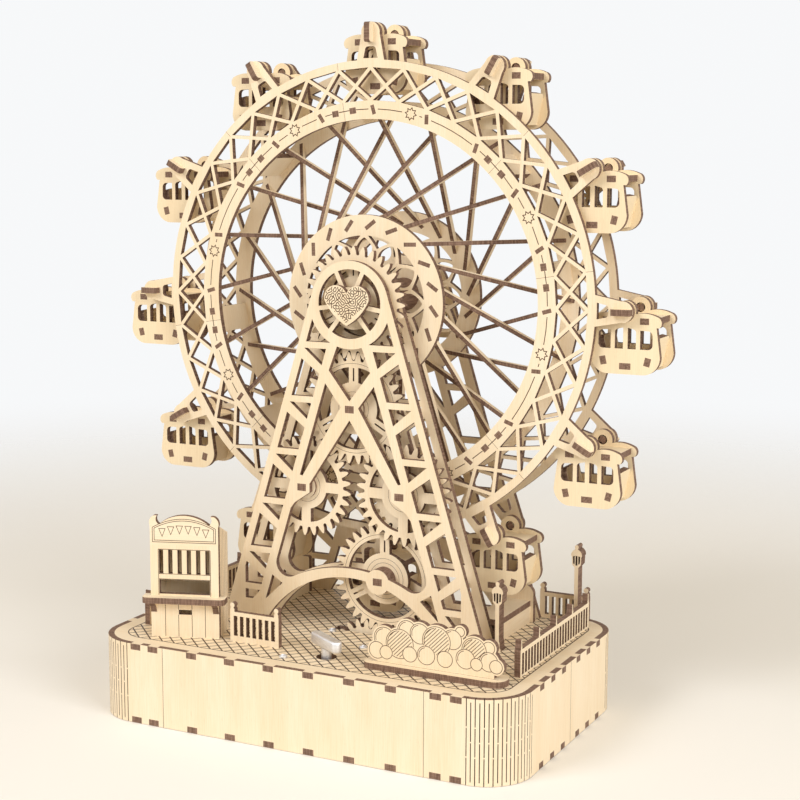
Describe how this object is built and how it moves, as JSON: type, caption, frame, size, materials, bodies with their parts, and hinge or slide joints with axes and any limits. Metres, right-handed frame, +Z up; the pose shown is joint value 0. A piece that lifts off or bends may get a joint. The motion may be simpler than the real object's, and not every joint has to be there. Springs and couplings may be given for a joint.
{
  "type": "ferris wheel music box toy",
  "caption": "Laser-cut plywood ferris wheel toy on a rounded box base, with hanging gondolas, lattice towers, a visible gear train and a wind-up music movement with a bar key.",
  "frame": {"origin": "middle of the base box's underside", "axes": "+Z up, +X to the right seen from the front, -Y towards the front where the winding key stands; the wheel turns about +Y"},
  "size_m": [0.2944, 0.144, 0.3399],
  "materials": {
    "birch_plywood": "satin",
    "movement_steel": "satin",
    "movement_brass": "satin"
  },
  "bodies": {
    "base": {"back_fence": "birch_plywood", "back_tower_plate": "birch_plywood", "base_back_panel": "birch_plywood", "base_bottom": "birch_plywood", "base_corner_walls": "birch_plywood", "base_deck": "birch_plywood", "base_front_panel": "birch_plywood", "boarding_platforms": "birch_plywood", "booth_counter": "birch_plywood", "booth_front": "birch_plywood", "booth_sign": "birch_plywood", "booth_walls": "birch_plywood", "flower_bush": "birch_plywood", "gear_axle_strips": "birch_plywood", "gear_bushes": "birch_plywood", "heart_medallion": "birch_plywood", "left_fence": "birch_plywood", "movement_bedplate": "movement_brass", "movement_comb": "movement_steel", "movement_screws": "movement_steel", "movement_works": "movement_brass", "planter_board": "birch_plywood", "side_fence": "birch_plywood", "small_fence": "birch_plywood", "street_lamps": "birch_plywood", "tower_front_plate": "birch_plywood", "tower_inner_plate": "birch_plywood"},
    "wheel": {"wheel_axle": "birch_plywood", "axle_collars": "birch_plywood", "hub_gear": "birch_plywood", "front_ring": "birch_plywood", "back_ring": "birch_plywood", "ring_cross_boards": "birch_plywood", "front_hub_disc": "birch_plywood", "back_hub_disc": "birch_plywood", "front_ring_spokes": "birch_plywood", "back_ring_spokes": "birch_plywood", "gondola_pivot_pins": "birch_plywood"},
    "centre_gear": {"centre_gear": "birch_plywood"},
    "left_gear": {"left_gear": "birch_plywood"},
    "right_gear": {"right_gear": "birch_plywood", "right_pinion": "birch_plywood"},
    "bottom_gear": {"bottom_gear": "birch_plywood"},
    "movement_drum": {"drive_gear": "birch_plywood", "movement_drum": "movement_brass"},
    "winding_key": {"winding_key": "movement_steel"},
    "gondola_01": {"gondola_01": "birch_plywood"},
    "gondola_02": {"gondola_02": "birch_plywood"},
    "gondola_03": {"gondola_03": "birch_plywood"},
    "gondola_04": {"gondola_04": "birch_plywood"},
    "gondola_05": {"gondola_05": "birch_plywood"},
    "gondola_06": {"gondola_06": "birch_plywood"},
    "gondola_07": {"gondola_07": "birch_plywood"},
    "gondola_08": {"gondola_08": "birch_plywood"},
    "gondola_09": {"gondola_09": "birch_plywood"},
    "gondola_10": {"gondola_10": "birch_plywood"},
    "gondola_11": {"gondola_11": "birch_plywood"},
    "gondola_12": {"gondola_12": "birch_plywood"}
  },
  "joints": [
    {"name": "wheel_spin", "type": "hinge", "parent": "base", "child": "wheel", "pos_m": [0, 0.0298, 0.20493], "axis": [0, 1, 0], "continuous": true},
    {"name": "centre_gear_spin", "type": "hinge", "parent": "base", "child": "centre_gear", "pos_m": [0, -0.004, 0.15333], "axis": [0, 1, 0], "continuous": true},
    {"name": "left_gear_spin", "type": "hinge", "parent": "base", "child": "left_gear", "pos_m": [-0.027, -0.004, 0.11222], "axis": [0, 1, 0], "continuous": true},
    {"name": "right_gear_spin", "type": "hinge", "parent": "base", "child": "right_gear", "pos_m": [0.027, -0.00225, 0.11222], "axis": [0, 1, 0], "continuous": true},
    {"name": "bottom_gear_spin", "type": "hinge", "parent": "base", "child": "bottom_gear", "pos_m": [0.0153, -0.0005, 0.06861], "axis": [0, 1, 0], "continuous": true},
    {"name": "movement_drum_spin", "type": "hinge", "parent": "base", "child": "movement_drum", "pos_m": [0.004, -0.0005, 0.03], "axis": [0, 1, 0], "continuous": true},
    {"name": "winding_key_turn", "type": "hinge", "parent": "base", "child": "winding_key", "pos_m": [0.007, -0.047, 0.05], "axis": [0, 0, 1], "continuous": true},
    {"name": "gondola_01_swing", "type": "hinge", "parent": "wheel", "child": "gondola_01", "pos_m": [0.13, 0.0298, 0.20493], "axis": [0, 1, 0], "continuous": true},
    {"name": "gondola_02_swing", "type": "hinge", "parent": "wheel", "child": "gondola_02", "pos_m": [0.11258, 0.0298, 0.26993], "axis": [0, 1, 0], "continuous": true},
    {"name": "gondola_03_swing", "type": "hinge", "parent": "wheel", "child": "gondola_03", "pos_m": [0.065, 0.0298, 0.31751], "axis": [0, 1, 0], "continuous": true},
    {"name": "gondola_04_swing", "type": "hinge", "parent": "wheel", "child": "gondola_04", "pos_m": [0, 0.0298, 0.33493], "axis": [0, 1, 0], "continuous": true},
    {"name": "gondola_05_swing", "type": "hinge", "parent": "wheel", "child": "gondola_05", "pos_m": [-0.065, 0.0298, 0.31751], "axis": [0, 1, 0], "continuous": true},
    {"name": "gondola_06_swing", "type": "hinge", "parent": "wheel", "child": "gondola_06", "pos_m": [-0.11258, 0.0298, 0.26993], "axis": [0, 1, 0], "continuous": true},
    {"name": "gondola_07_swing", "type": "hinge", "parent": "wheel", "child": "gondola_07", "pos_m": [-0.13, 0.0298, 0.20493], "axis": [0, 1, 0], "continuous": true},
    {"name": "gondola_08_swing", "type": "hinge", "parent": "wheel", "child": "gondola_08", "pos_m": [-0.11258, 0.0298, 0.13993], "axis": [0, 1, 0], "continuous": true},
    {"name": "gondola_09_swing", "type": "hinge", "parent": "wheel", "child": "gondola_09", "pos_m": [-0.065, 0.0298, 0.09235], "axis": [0, 1, 0], "continuous": true},
    {"name": "gondola_10_swing", "type": "hinge", "parent": "wheel", "child": "gondola_10", "pos_m": [0, 0.0298, 0.07493], "axis": [0, 1, 0], "continuous": true},
    {"name": "gondola_11_swing", "type": "hinge", "parent": "wheel", "child": "gondola_11", "pos_m": [0.065, 0.0298, 0.09235], "axis": [0, 1, 0], "continuous": true},
    {"name": "gondola_12_swing", "type": "hinge", "parent": "wheel", "child": "gondola_12", "pos_m": [0.11258, 0.0298, 0.13993], "axis": [0, 1, 0], "continuous": true}
  ],
  "couplings": [
    {"joint": "centre_gear_spin", "follows": "wheel_spin", "ratio": -1},
    {"joint": "left_gear_spin", "follows": "wheel_spin", "ratio": 1.1034},
    {"joint": "right_gear_spin", "follows": "wheel_spin", "ratio": 1.1034},
    {"joint": "bottom_gear_spin", "follows": "wheel_spin", "ratio": -0.82759},
    {"joint": "movement_drum_spin", "follows": "wheel_spin", "ratio": 1.4713},
    {"joint": "gondola_01_swing", "follows": "wheel_spin", "ratio": -1},
    {"joint": "gondola_02_swing", "follows": "wheel_spin", "ratio": -1},
    {"joint": "gondola_03_swing", "follows": "wheel_spin", "ratio": -1},
    {"joint": "gondola_04_swing", "follows": "wheel_spin", "ratio": -1},
    {"joint": "gondola_05_swing", "follows": "wheel_spin", "ratio": -1},
    {"joint": "gondola_06_swing", "follows": "wheel_spin", "ratio": -1},
    {"joint": "gondola_07_swing", "follows": "wheel_spin", "ratio": -1},
    {"joint": "gondola_08_swing", "follows": "wheel_spin", "ratio": -1},
    {"joint": "gondola_09_swing", "follows": "wheel_spin", "ratio": -1},
    {"joint": "gondola_10_swing", "follows": "wheel_spin", "ratio": -1},
    {"joint": "gondola_11_swing", "follows": "wheel_spin", "ratio": -1},
    {"joint": "gondola_12_swing", "follows": "wheel_spin", "ratio": -1}
  ]
}
